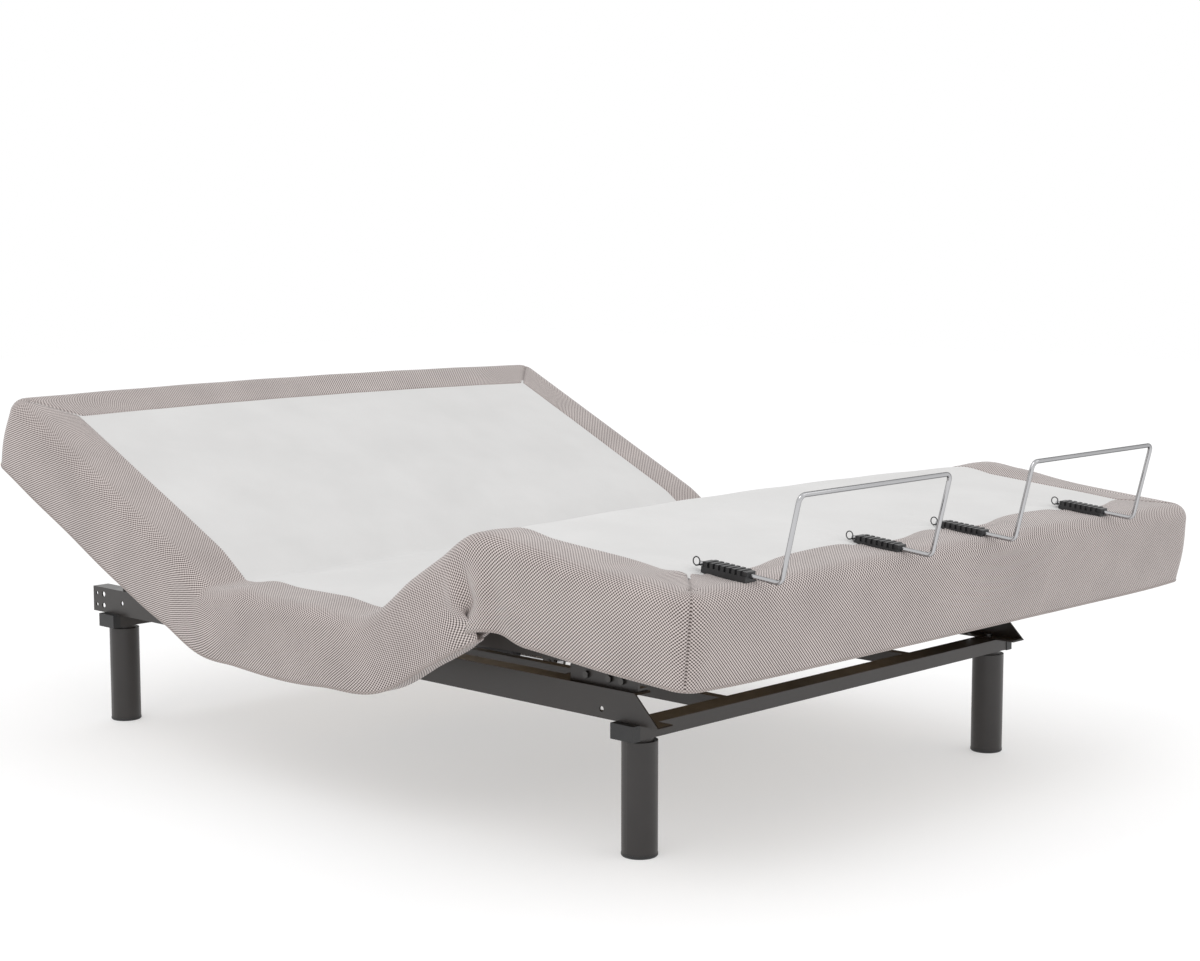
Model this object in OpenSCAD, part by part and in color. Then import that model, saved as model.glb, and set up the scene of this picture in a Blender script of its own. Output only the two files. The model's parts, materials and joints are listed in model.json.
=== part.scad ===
// Adjustable bed base: a steel frame on four screw-in legs, a fixed seat deck, and
// powered head, thigh and foot decks under one padded fabric cover.
// Frame: +Z up, z = 0 on the floor, +Y towards the head end, X across the bed,
// origin under the middle of the whole object in its raised resting position.

/* [Platform] */
// Width of the padded platform
platform_w = 1524; // [1370:1:1930]
// Head section, from its hinge to the head end
head_len = 775; // [700:1:930]
// Fixed seat section, hinge to hinge
seat_len = 455; // [440:1:560]
// Thigh section, from its hinge to the knee hinge
thigh_len = 325; // [310:1:400]
// Foot section, from the knee hinge to the foot end
foot_len = 497; // [440:1:580]
// Depth of the padded sides, from the sleeping surface down
side_depth = 160; // [140:1:165]
// Thickness of the padded sides
border_t = 50; // [35:1:60]
// Radius of the platform's corners, seen from above
corner_r = 40; // [20:1:60]
// Thickness of the deck panels
deck_t = 15; // [12:0.5:19]
// Thickness of the foam on the decks
pad_t = 25; // [15:1:40]
// Thickness of the cover fabric
cover_t = 1.6; // [1:0.1:3]
// Width of the darker band around the top
band_w = 112; // [80:1:140]

/* [Resting position] */
// Rise of the head section
head_rest = 25.5; // [10:0.5:45]
// Rise of the thigh section
thigh_rest = 31.4; // [10:0.1:40]
// Drop of the foot section below level
foot_rest = 5.1; // [0:0.1:10]
// Highest rise of the head section
head_max = 60; // [50:1:60]
// Highest rise of the thigh section
thigh_max = 45; // [40:1:45]

/* [Base frame] */
// Height of a leg with its glide
leg_h = 203; // [150:1:260]
// Diameter of a leg
leg_d = 63.5; // [45:0.5:70]
// Distance between the two legs of a row
leg_pitch_x = 1051; // [900:1:1200]
// Distance between the foot row and the head row
leg_pitch_y = 1525; // [1450:1:1600]
// Foot row of legs, measured from the thigh hinge
leg_setback = 450; // [420:1:500]
// Height of the cross tubes
tube_h = 25.4; // [20:0.1:40]
// Depth of the cross tubes along the bed
tube_d = 50.8; // [40:0.1:60]
// Wall of the cross tubes
tube_wall = 2; // [1.5:0.1:3]
// Height of the side rails
rail_h = 54; // [48:1:70]
// Width of the side rails' flanges
rail_flange = 38; // [25:1:45]
// Sheet thickness of the rails
rail_t = 3; // [2:0.1:4]
// Distance between the outer faces of the two side rails
rail_pitch = 1106; // [1000:1:1250]
// Clear height between a side rail and its support rail
support_gap = 29.6; // [20:0.1:40]
// Height of the support rails that carry the decks
support_h = 32; // [25:1:40]

/* [Lift mechanism] */
// Head lift pivot, measured back from the head hinge
head_arm_back = 130; // [120:1:140]
// Knee lift pivot, measured back from the thigh hinge
knee_arm_back = 185; // [175:1:195]
// Both lift pivots, below the hinges
arm_drop = 75; // [72:1:78]
// Length of a head lift arm
head_arm_len = 450; // [430:1:470]
// Length of a knee lift arm
knee_arm_len = 400; // [380:1:405]
// Diameter of the torque tubes
torque_d = 32; // [28:1:36]
// Diameter of the lift rollers
roller_d = 40; // [36:1:44]
// Height of the tracks that the rollers run under
track_h = 35; // [30:1:36]
// Distance between the pair of lift arms
arm_pitch = 600; // [590:1:740]
// Length of the levers that the actuators push
lever_len = 80; // [70:1:85]
// Actuator length from its rear pin to its rod eye, at rest
actuator_len = 430; // [420:1:440]
// Distance of each actuator from the middle of the bed
actuator_x = 120; // [90:1:150]

/* [Mattress retainers] */
// Diameter of the bent rod
bar_d = 8; // [6:0.5:10]
// Width of a retainer bar, between rod centres
bar_w = 400; // [300:1:450]
// Height of a retainer bar above its clips
bar_rise = 146; // [80:1:180]
// Middle of the left bar, measured from the middle of the bed
bar_left_x = -400; // [-480:1:-300]
// Middle of the right bar, measured from the middle of the bed
bar_right_x = 250; // [200:1:400]
// Length of a retainer clip
clip_len = 92; // [70:1:120]

/* [Hidden] */
$fn = 48;
eps = 0.01;

// Heights, built up from the floor.
plate_t = 6;
tube_z = leg_h + plate_t;
rail_z = tube_z + tube_h;
support_z = rail_z + rail_h + support_gap;
deck_z = support_z + support_h;
hinge_drop = 5;
hinge_z = deck_z - hinge_drop;
// Heights in a section's own frame, where its hinge axis is at height 0.
deck_h0 = hinge_drop;
deck_h1 = deck_h0 + deck_t;
top_h = deck_h1 + pad_t;
low_h = top_h - side_depth;
lift_gap = 0.5;
gap = 1;
strip_gap = 0.3;
deck_gap = 13;

// Places along the bed. The resting outline runs from the top of the retainer
// bars to the lower edge of the head end, and the origin is midway.
foot_turn = thigh_rest + foot_rest;
foot_ratio = foot_turn / thigh_rest;
knee_max = thigh_max * foot_ratio;
function turn(u, h, a) = [u * cos(a) - h * sin(a), u * sin(a) + h * cos(a)];
knee_yz = turn(thigh_len, 0, thigh_rest);
bar_lean = 8.7;
bar_h = top_h + 11;
bar_u = foot_len + 40;
bar_top = [bar_u + bar_rise * sin(bar_lean), bar_h + bar_rise * cos(bar_lean)];
foot_reach = knee_yz[0] + turn(bar_top[0], bar_top[1], -foot_rest)[0] + bar_d / 2;
head_reach = turn(head_len, low_h, head_rest)[0];
thigh_y = (foot_reach - head_reach - seat_len) / 2;
head_y = thigh_y + seat_len;
foot_leg_y = thigh_y - leg_setback;
head_leg_y = foot_leg_y + leg_pitch_y;

// Half widths, from the cover inwards.
half_w = platform_w / 2;
border_x = half_w - cover_t;
inner_x = border_x - border_t;
deck_clear = 2;
deck_x = inner_x - deck_clear;
cloth_x = half_w - band_w;
rail_x = rail_pitch / 2;
leg_x = leg_pitch_x / 2;
tube_x = rail_x + 14;
support_x = rail_x - 10;
support_w = 28;

// Section frames: local +Y runs away from the section's own hinge, local z = 0 is
// at the hinge axis.
module on_head() {
    translate([0, head_y, hinge_z]) rotate([head_rest, 0, 0]) children();
}
module on_thigh() {
    translate([0, thigh_y, hinge_z]) mirror([0, 1, 0]) rotate([thigh_rest, 0, 0]) children();
}
module on_foot() {
    on_thigh() translate([0, thigh_len, 0]) rotate([-foot_turn, 0, 0]) children();
}
module on_seat() {
    translate([0, thigh_y, hinge_z]) children();
}
module both_sides() {
    children();
    mirror([1, 0, 0]) children();
}

// A joint between two sections opens above the hinge when it folds up (valley)
// and below it when it folds down (ridge). Each end is cut back to suit.
valley_head = head_max / 2;
valley_thigh = thigh_max / 2;
ridge_knee = knee_max / 2;
seat_ends = [[valley_thigh, 0], [valley_head, 0]];
head_ends = [[valley_head, 0], undef];
thigh_ends = [[valley_thigh, 0], [0, ridge_knee]];
foot_ends = [[0, ridge_knee], undef];
function cut_back(h, cut) = gap + (h > 0 ? h * tan(cut[0]) : -h * tan(cut[1]));

// Side outline of a section between two heights, as a polygon in (y, z).
module outline(len, ends, h0, h1) {
    heights = h0 < 0 && h1 > 0 ? [h0, 0, h1] : [h0, h1];
    near = [for (h = heights) [cut_back(h, ends[0]), h]];
    far = [for (i = [len(heights) - 1 : -1 : 0])
        [is_undef(ends[1]) ? len : len - cut_back(heights[i], ends[1]), heights[i]]];
    polygon(concat(near, far));
}
module across(w) {
    rotate([90, 0, 90]) linear_extrude(w, center = true) children();
}
module section_block(len, ends, w, h0, h1) {
    across(w) outline(len, ends, h0, h1);
}
// Plan outline of a section: square at a hinge, round corners at a free end.
module plan(len, ends, inset) {
    x = half_w - inset;
    reach = is_undef(ends[1]) ? len - inset : len;
    r = max(corner_r - inset, 2);
    if (is_undef(ends[1])) {
        translate([-x, -1]) square([2 * x, reach + 1 - r]);
        translate([-x + r, -1]) square([2 * (x - r), reach + 1]);
        for (side = [-1, 1]) translate([side * (x - r), reach - r]) circle(r);
    } else {
        translate([-x, -1]) square([2 * x, reach + 2]);
    }
}
module slab(h0, h1) {
    translate([0, 0, h0]) linear_extrude(h1 - h0) children();
}

// Soft parts and panels that every section has.
module deck_panel(len, ends, lift) {
    reach = is_undef(ends[1]) ? len - cover_t - border_t - deck_clear : len - deck_gap;
    color("burlywood") difference() {
        translate([-deck_x, deck_gap, deck_h0 + lift])
            cube([2 * deck_x, reach - deck_gap, deck_t - lift]);
        for (side = [-1, 1], along = [0.3, 0.7])
            translate([side * deck_x * 0.72, deck_gap + (reach - deck_gap) * along, deck_h0 - 1])
                cylinder(d = 40, h = deck_t + 2);
    }
}
module pad(len, ends) {
    color("whitesmoke") intersection() {
        section_block(len, ends, 3 * half_w, deck_h1, top_h - cover_t);
        slab(deck_h1, top_h - cover_t) plan(len, ends, cover_t);
    }
}
module border(len, ends) {
    open_end = is_undef(ends[1]);
    strip_len = open_end ? len - cover_t - border_t - strip_gap : len;
    color("gainsboro") intersection() {
        slab(low_h, deck_h1) plan(len, ends, cover_t);
        union() {
            both_sides() intersection() {
                section_block(strip_len, ends, 3 * half_w, low_h, deck_h1);
                translate([inner_x, -1, low_h]) cube([border_t, len + 2, deck_h1 - low_h]);
            }
            if (open_end) translate([-half_w, len - cover_t - border_t, low_h])
                cube([2 * half_w, border_t, deck_h1 - low_h]);
        }
    }
}
module cover(len, ends) {
    open_end = is_undef(ends[1]);
    window_len = open_end ? len - band_w : len + 2;
    color([0.62, 0.57, 0.55]) intersection() {
        section_block(len, ends, 3 * half_w, low_h, top_h);
        difference() {
            slab(low_h, top_h) plan(len, ends, 0);
            translate([0, 0, -eps]) slab(low_h, top_h - cover_t + eps) plan(len, ends, cover_t);
            translate([-cloth_x, -2, top_h - 2 * cover_t])
                cube([2 * cloth_x, window_len + 2, 4 * cover_t]);
        }
    }
}
module cloth(len, ends) {
    window_len = is_undef(ends[1]) ? len - band_w : len + 1;
    color([0.84, 0.83, 0.83]) intersection() {
        section_block(len, ends, 2 * cloth_x, top_h - cover_t, top_h);
        translate([-cloth_x, -1, top_h - cover_t]) cube([2 * cloth_x, window_len + 1, cover_t]);
    }
}
module seat_deck() { on_seat() deck_panel(seat_len, seat_ends, 0); }
module seat_pad() { on_seat() pad(seat_len, seat_ends); }
module seat_border() { on_seat() border(seat_len, seat_ends); }
module seat_cover() { on_seat() cover(seat_len, seat_ends); }
module seat_cloth() { on_seat() cloth(seat_len, seat_ends); }
module head_deck() { on_head() deck_panel(head_len, head_ends, lift_gap); }
module head_pad() { on_head() pad(head_len, head_ends); }
module head_border() { on_head() border(head_len, head_ends); }
module head_cover() { on_head() cover(head_len, head_ends); }
module head_cloth() { on_head() cloth(head_len, head_ends); }
module thigh_deck() { on_thigh() deck_panel(thigh_len, thigh_ends, lift_gap); }
module thigh_pad() { on_thigh() pad(thigh_len, thigh_ends); }
module thigh_border() { on_thigh() border(thigh_len, thigh_ends); }
module thigh_cover() { on_thigh() cover(thigh_len, thigh_ends); }
module thigh_cloth() { on_thigh() cloth(thigh_len, thigh_ends); }
module foot_deck() { on_foot() deck_panel(foot_len, foot_ends, lift_gap); }
module foot_pad() { on_foot() pad(foot_len, foot_ends); }
module foot_border() { on_foot() border(foot_len, foot_ends); }
module foot_cover() { on_foot() cover(foot_len, foot_ends); }
module foot_cloth() { on_foot() cloth(foot_len, foot_ends); }

// Butt hinges under the decks. The pin and the middle knuckle belong to one
// section, the two outer knuckles to the other.
hinge_pin_d = 8;
knuckle_d = 15;
knuckle_fit = 0.05;
leaf_t = 3;
leaf_w = 60;
knuckle_w = leaf_w / 3;
leaf_len = 50;
knuckle_side = 0.5;
hinge_xs = [for (i = [-1.5 : 1 : 1.5]) i * deck_x * 0.6];
hinge_top = deck_h0;
module leaf_plate() {
    translate([-leaf_w / 2, deck_gap - 3, hinge_top - leaf_t]) cube([leaf_w, leaf_len, leaf_t]);
}
module knuckle(x0, w, pinned) {
    difference() {
        union() {
            translate([x0, 0, 0]) rotate([0, 90, 0]) cylinder(d = knuckle_d, h = w);
            translate([x0, 0, hinge_top - leaf_t]) cube([w, deck_gap, leaf_t]);
        }
        if (!pinned) translate([x0 - 1, 0, 0]) rotate([0, 90, 0])
            cylinder(d = hinge_pin_d + 2 * knuckle_fit, h = w + 2);
    }
}
// The leaf that holds the pin: middle knuckle and the pin through both sides.
module pin_leaf() {
    for (x = hinge_xs) translate([x, 0, 0]) {
        leaf_plate();
        knuckle(-knuckle_w / 2 + knuckle_side, knuckle_w - 2 * knuckle_side, true);
        translate([-leaf_w / 2 - 2, 0, 0]) rotate([0, 90, 0])
            cylinder(d = hinge_pin_d, h = leaf_w + 4);
    }
}
// The leaf that turns on the pin: two outer knuckles, clear of the middle one.
module bore_leaf(lower) {
    for (x = hinge_xs) translate([x, 0, -lower]) {
        leaf_plate();
        for (side = [0, 1])
            translate([0, 0, lower])
                knuckle(side ? knuckle_w / 2 + knuckle_side : -leaf_w / 2, knuckle_w - knuckle_side, false);
    }
}
module seat_hinge_leaves() {
    color("dimgray") {
        on_seat() pin_leaf();
        on_seat() translate([0, seat_len, 0]) mirror([0, 1, 0]) pin_leaf();
    }
}
module head_hinge_leaves() { color("dimgray") on_head() bore_leaf(0); }
module thigh_hinge_leaves() {
    color("dimgray") {
        on_thigh() bore_leaf(0);
        on_thigh() translate([0, thigh_len, 0]) mirror([0, 1, 0]) pin_leaf();
    }
}
module foot_hinge_leaves() { color("dimgray") on_foot() bore_leaf(0); }

// Steel tracks under the moving decks, and the bars that tie them together.
roller_w = 24;
arm_t = 12;
arm_x = arm_pitch / 2;
track_w = 34;
arm_gap = (track_w - roller_w) / 2 + 2;
track_x = arm_x - arm_t / 2 - arm_gap - roller_w / 2;
tie_w = 30;
tie_h = 20;
track_start = deck_gap + leaf_len + 6;
wing_clear = 10;
end_clear = 110;
module track(len) {
    translate([track_x - track_w / 2, track_start, deck_h0 - track_h])
        difference() {
            cube([track_w, len - track_start, track_h]);
            translate([rail_t, -1, rail_t + eps])
                cube([track_w - 2 * rail_t, len - track_start + 2, track_h]);
        }
}
module tie_bar(u) {
    reach = track_x - track_w / 2;
    translate([-reach, u, deck_h0 - tie_h]) cube([2 * reach, tie_w, tie_h]);
}
module wing_bar(u) {
    start = track_x + track_w / 2;
    translate([start, u, deck_h0 - tie_h])
        cube([support_x - support_w - wing_clear - start, tie_w, tie_h]);
}
module track_frame(end, ties, wings) {
    color([0.2, 0.18, 0.17]) {
        both_sides() track(end);
        for (u = ties) tie_bar(u);
        for (u = wings) both_sides() wing_bar(u);
    }
}
module head_tracks() {
    end = head_len - end_clear;
    ties = [track_start + 20, end - tie_w - 20];
    on_head() track_frame(end, ties, ties);
}
module thigh_tracks() {
    ties = [track_start + 10];
    on_thigh() track_frame(thigh_len - track_start, ties, ties);
}

// The foot deck's frame carries the lugs that the struts hold up.
strut_x = 470;
strut_u = 200;
strut_h = -60;
lug_t = 5;
lug_r = 14;
strut_w = 8;
strut_pin_d = 10;
strut_free = 4;
lug_gap = 3;
module foot_tracks() {
    end = foot_len - end_clear;
    color([0.2, 0.18, 0.17]) on_foot() {
        track_frame(end, [track_start + 20, end - tie_w - 20], [strut_u - tie_w / 2]);
        both_sides() {
            for (side = [-1, 1])
                translate([strut_x + side * (strut_w / 2 + lug_gap + lug_t / 2), strut_u, 0])
                    rotate([0, 90, 0]) strut_lug();
            translate([strut_x - strut_w / 2 - lug_gap - lug_t, strut_u, strut_h]) rotate([0, 90, 0])
                cylinder(d = strut_pin_d, h = strut_w + 2 * (lug_gap + lug_t));
        }
    }
}
module strut_lug() {
    linear_extrude(lug_t, center = true) {
        translate([-strut_h, 0]) circle(lug_r);
        translate([tie_h - deck_h0, -lug_r]) square([-strut_h - tie_h + deck_h0, 2 * lug_r]);
    }
}

// Foot struts, from the front cross member up to the foot deck. Their upper
// eyes are wider than the lug pins.
strut_base = [thigh_y - 248, hinge_z - 72.6];
strut_pin = let (p = turn(strut_u, strut_h, -foot_rest)) [thigh_y - knee_yz[0] - p[0],
    hinge_z + knee_yz[1] + p[1]];
strut_len = norm(strut_pin - strut_base);
strut_angle = atan2(strut_pin[1] - strut_base[1], strut_base[0] - strut_pin[0]);
module at_strut() {
    translate([0, strut_base[0], strut_base[1]]) mirror([0, 1, 0]) rotate([strut_angle, 0, 0])
        children();
}
module strut_plate() {
    rotate([90, 0, 90]) linear_extrude(strut_w, center = true) difference() {
        union() {
            circle(15);
            translate([strut_len, 0]) circle(15);
            translate([0, -11]) square([strut_len, 22]);
        }
        circle(d = strut_pin_d + 2 * knuckle_fit);
        translate([strut_len, 0]) circle(d = strut_pin_d + 2 * strut_free);
    }
}
module foot_struts() {
    color([0.2, 0.18, 0.17]) for (side = [-1, 1])
        translate([side * strut_x, 0, 0]) at_strut() strut_plate();
}

// Lift arms. The angle puts each roller just under its track.
track_low = track_h - deck_h0;
function arm_rise(a, back, len, free) =
    a + asin((arm_drop * cos(a) - back * sin(a) - track_low - roller_d / 2 - free) / len);
head_roll_free = 1.6;
knee_roll_free = 1.1;
head_arm_rise = arm_rise(head_rest, head_arm_back, head_arm_len, head_roll_free);
knee_arm_rise = arm_rise(thigh_rest, knee_arm_back, knee_arm_len, knee_roll_free);
arm_h = 34;
arm_z = hinge_z - arm_drop;
stub_d = 20;
axle_d = 10;
lever_t = 6;
lever_gap = 22;
lever_pin_d = 12;
torque_x = rail_x - rail_flange - 2;
module at_head_pivot() {
    translate([0, head_y - head_arm_back, arm_z]) children();
}
module at_knee_pivot() {
    translate([0, thigh_y + knee_arm_back, arm_z]) mirror([0, 1, 0]) children();
}
module at_head_arm() {
    at_head_pivot() rotate([head_arm_rise, 0, 0]) children();
}
module at_knee_arm() {
    at_knee_pivot() rotate([knee_arm_rise, 0, 0]) children();
}
// Each arm has an elbow, which lets it pass under the hinge line when it is raised.
head_elbow = [160, -84];
knee_elbow = [205, -60];
weld_step = 0.6;
module arm_leg(a, b, ra, rb) {
    n = [a[1] - b[1], b[0] - a[0]] / norm(b - a);
    ha = ra - weld_step;
    hb = rb - weld_step;
    polygon([a + n * ha, b + n * hb, b - n * hb, a - n * ha]);
    translate(a) circle(ra);
    translate(b) circle(rb);
}
module lift_arms(len, elbow) {
    color([0.2, 0.18, 0.17]) both_sides() translate([arm_x - arm_t / 2, 0, 0]) difference() {
        rotate([90, 0, 90]) linear_extrude(arm_t) {
            arm_leg([0, 0], elbow, arm_h / 2 + 6, arm_h / 2);
            arm_leg(elbow, [len, 0], arm_h / 2, roller_d / 2 - 6);
        }
        translate([-1, 0, 0]) rotate([0, 90, 0]) cylinder(d = torque_d, h = arm_t + 2);
        translate([-1, len, 0]) rotate([0, 90, 0]) cylinder(d = axle_d, h = arm_t + 2);
    }
}
module rollers(len) {
    color([0.85, 0.85, 0.83]) both_sides()
        translate([track_x - roller_w / 2, len, 0]) rotate([0, 90, 0]) difference() {
            union() {
                cylinder(d = roller_d, h = roller_w);
                translate([0, 0, -0.5]) cylinder(d = axle_d + 8, h = roller_w + 1);
            }
            translate([0, 0, -1]) cylinder(d = axle_d + 2 * knuckle_fit, h = roller_w + 2);
        }
}
// Torque tube with its end stubs, the roller axles that share its body, and the
// lever that the actuator pushes. The lever hangs at lever_a from straight down.
module torque_tube(len, lever_x, lever_a) {
    color([0.2, 0.18, 0.17]) {
        rotate([0, 90, 0]) cylinder(d = torque_d, h = 2 * torque_x, center = true);
        rotate([0, 90, 0]) cylinder(d = stub_d, h = 2 * rail_x + 4, center = true);
        for (side = [-1, 1]) translate([lever_x + side * (lever_gap + lever_t) / 2, 0, 0])
            rotate([lever_a, 0, 0]) rotate([90, 0, 90]) linear_extrude(lever_t, center = true) {
                translate([-15, -lever_len]) square([30, lever_len]);
                translate([0, -lever_len]) circle(15);
            }
        rotate([lever_a, 0, 0]) translate([lever_x - lever_gap / 2 - lever_t - 2, 0, -lever_len])
            rotate([0, 90, 0]) cylinder(d = lever_pin_d, h = lever_gap + 2 * lever_t + 4);
        both_sides() translate([track_x - roller_w / 2 - 6, len, 0]) rotate([0, 90, 0]) {
            cylinder(d = axle_d, h = roller_w + arm_gap + arm_t + 12);
            translate([0, 0, 1]) cylinder(d = axle_d + 6, h = 4);
            translate([0, 0, roller_w + 7]) cylinder(d = axle_d + 6, h = arm_gap - 1);
        }
    }
}
// Lever angles at rest, from straight down towards the actuator's push, and the
// place of each rod eye. The eye's bore is wider than the lever's pin, and at rest
// the pin sits off its middle, so that the pin stays inside it over the whole travel.
lever_rest = 20;
eye_free = 3;
head_eye_off = [-0.8, 1.9];
knee_eye_off = [-0.2, 0.5];
function eye_at(off) = [lever_len * sin(lever_rest) + off[0], off[1] - lever_len * cos(lever_rest)];
head_eye = eye_at(head_eye_off);
knee_eye = eye_at(knee_eye_off);
module head_torque_tube() {
    at_head_arm() torque_tube(head_arm_len, actuator_x, lever_rest - head_arm_rise);
}
module head_lift_arms() { at_head_arm() lift_arms(head_arm_len, head_elbow); }
module head_rollers() { at_head_arm() rollers(head_arm_len); }
module knee_torque_tube() {
    at_knee_arm() torque_tube(knee_arm_len, -actuator_x, lever_rest - knee_arm_rise);
}
module knee_lift_arms() { at_knee_arm() lift_arms(knee_arm_len, knee_elbow); }
module knee_rollers() { at_knee_arm() rollers(knee_arm_len); }

// Linear actuators. Each body turns on a pin in a bracket under a cross member,
// and its rod slides in a bush at the mouth of the outer tube.
rear_pin_d = 12;
rear_eye_w = 20;
gear_l = 110;
gear_w = 62;
gear_h = 58;
barrel_d = 40;
barrel_end = 330;
rod_d = 22;
rod_start = 170;
bush_l = 14;
motor_d = 54;
motor_l = 96;
module actuator_body(side) {
    color([0.15, 0.15, 0.16]) difference() {
        union() {
            rotate([0, 90, 0]) cylinder(r = 15, h = rear_eye_w, center = true);
            translate([-rear_eye_w / 2, 0, -12]) cube([rear_eye_w, 32, 24]);
            translate([-gear_w / 2, 28, -gear_h / 2]) cube([gear_w, gear_l, gear_h]);
            translate([0, 28 + gear_l / 2, 0]) rotate([0, side * 90, 0]) {
                cylinder(d = motor_d, h = gear_w / 2 + motor_l);
                cylinder(d = motor_d - 12, h = gear_w / 2 + motor_l + 6);
            }
            translate([0, 28, 0]) rotate([-90, 0, 0]) cylinder(d = barrel_d, h = barrel_end - 28);
            translate([0, barrel_end - 22, 0]) rotate([-90, 0, 0]) cylinder(d = barrel_d + 6, h = 22);
        }
        rotate([0, 90, 0]) cylinder(d = rear_pin_d + 2 * knuckle_fit, h = rear_eye_w + 2, center = true);
        translate([0, rod_start - 45, 0]) rotate([-90, 0, 0])
            cylinder(d = barrel_d - 8, h = barrel_end - bush_l - rod_start + 45);
        translate([0, barrel_end - bush_l - 1, 0]) rotate([-90, 0, 0])
            cylinder(d = rod_d + 2 * knuckle_fit, h = bush_l + 2);
    }
}
module actuator_rod() {
    color("silver") difference() {
        union() {
            translate([0, rod_start, 0]) rotate([-90, 0, 0])
                cylinder(d = rod_d, h = actuator_len - rod_start);
            translate([0, actuator_len, 0]) rotate([0, 90, 0])
                cylinder(r = 16, h = lever_gap - 4, center = true);
        }
        translate([0, actuator_len, 0]) rotate([0, 90, 0])
            cylinder(d = lever_pin_d + 2 * eye_free, h = rod_d + 4, center = true);
    }
}
head_eye_z = arm_z + head_eye[1];
knee_eye_z = arm_z + knee_eye[1];
module at_head_rear() {
    at_head_pivot() translate([actuator_x, head_eye[0] - actuator_len, head_eye[1]]) children();
}
module at_knee_rear() {
    at_knee_pivot() translate([-actuator_x, knee_eye[0] - actuator_len, knee_eye[1]]) children();
}
module head_actuator() { at_head_rear() actuator_body(1); }
module head_rod() { at_head_rear() actuator_rod(); }
module knee_actuator() { at_knee_rear() actuator_body(-1); }
module knee_rod() { at_knee_rear() actuator_rod(); }

// Base frame. The side rails are channels with their flanges turned inwards.
nose_low = 67;
nose_high = 13;
tail = 73;
rail_hole_d = 10;
headboard_d = 12;
headboard_small_d = 8;
headboard_y = 35;
headboard_small_y = 60;
headboard_pitch = 25;
rail_start = foot_leg_y - nose_low;
rail_end = head_leg_y + tail;
head_pivot_y = head_y - head_arm_back;
knee_pivot_y = thigh_y + knee_arm_back;
rail_mid = rail_z + rail_h / 2;
module rail_profile() {
    difference() {
        square([rail_flange, rail_h]);
        translate([rail_t, rail_t]) square([rail_flange, rail_h - 2 * rail_t]);
    }
}
module hole_x(y, z, d) {
    translate([rail_x - rail_t - 1, y, z]) rotate([0, 90, 0]) cylinder(d = d, h = rail_t + 2);
}
bush_d = 26;
module side_rail() {
    color([0.29, 0.27, 0.26]) difference() {
        translate([rail_x, rail_end, rail_z]) rotate([90, 0, 0]) mirror([1, 0, 0])
            linear_extrude(rail_end - rail_start) rail_profile();
        translate([rail_x - rail_flange - 1, 0, 0]) rotate([90, 0, 90]) linear_extrude(rail_flange + 2)
            polygon([[rail_start - 1, rail_z], [foot_leg_y - nose_high, rail_z + rail_h],
                [foot_leg_y - nose_high, rail_z + rail_h + 1], [rail_start - 1, rail_z + rail_h + 1]]);
        hole_x(foot_leg_y + 64, rail_z + 16, rail_hole_d);
        hole_x(head_leg_y - 34, rail_mid, rail_hole_d);
        for (up = [-1, 1]) {
            hole_x(head_leg_y + headboard_y, rail_mid + up * headboard_pitch / 2, headboard_d);
            hole_x(head_leg_y + headboard_small_y, rail_mid + up * headboard_pitch / 2,
                headboard_small_d);
        }
        for (y = [head_pivot_y, knee_pivot_y]) hole_x(y, arm_z, bush_d);
        for (y = [foot_leg_y, head_leg_y])
            translate([rail_bolt_x, y, rail_z - 1]) cylinder(d = bolt_d, h = rail_t + 2);
    }
}
module side_rail_right() { side_rail(); }
module side_rail_left() { mirror([1, 0, 0]) side_rail(); }
module box_tube(y, w, stud_xs) {
    difference() {
        translate([-w, y - tube_d / 2, tube_z]) cube([2 * w, tube_d, tube_h]);
        translate([-w - 1, y - tube_d / 2 + tube_wall, tube_z + tube_wall])
            cube([2 * w + 2, tube_d - 2 * tube_wall, tube_h - 2 * tube_wall]);
        for (x = stud_xs) translate([x, y, tube_z - 1]) cylinder(d = stud_hole_d, h = tube_wall + 2);
        both_sides() translate([rail_bolt_x, y, rail_z - tube_wall - 1])
            cylinder(d = bolt_d, h = tube_wall + 2);
    }
}
cap_len = 14;
cap_lip = 1.2;
leg_stud_d = 10;
stud_hole_d = leg_stud_d + 1;
module foot_cross_tube() {
    color([0.22, 0.2, 0.19]) box_tube(foot_leg_y, tube_x, [-leg_x, leg_x]);
}
module head_cross_tube() {
    color([0.22, 0.2, 0.19]) box_tube(head_leg_y, tube_x, [-leg_x, leg_x]);
}
module tube_end_caps() {
    color([0.1, 0.1, 0.1]) for (y = [foot_leg_y, head_leg_y]) both_sides() {
        translate([tube_x, y - tube_d / 2 - cap_lip, tube_z - cap_lip])
            cube([4, tube_d + 2 * cap_lip, tube_h + 2 * cap_lip]);
        difference() {
            translate([tube_x - cap_len, y - tube_d / 2 - cap_lip, tube_z - cap_lip])
                cube([cap_len, tube_d + 2 * cap_lip, tube_h + 2 * cap_lip]);
            translate([tube_x - cap_len - 1, y - tube_d / 2, tube_z])
                cube([cap_len + 2, tube_d, tube_h]);
        }
    }
}
member_w = 50;
member_h = 30;
beam_w = 20;
beam_x = arm_x - arm_t / 2 - 7 - beam_w / 2;
front_member_y = head_pivot_y + head_eye[0] - actuator_len;
rear_member_y = knee_pivot_y - knee_eye[0] + actuator_len;
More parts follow.
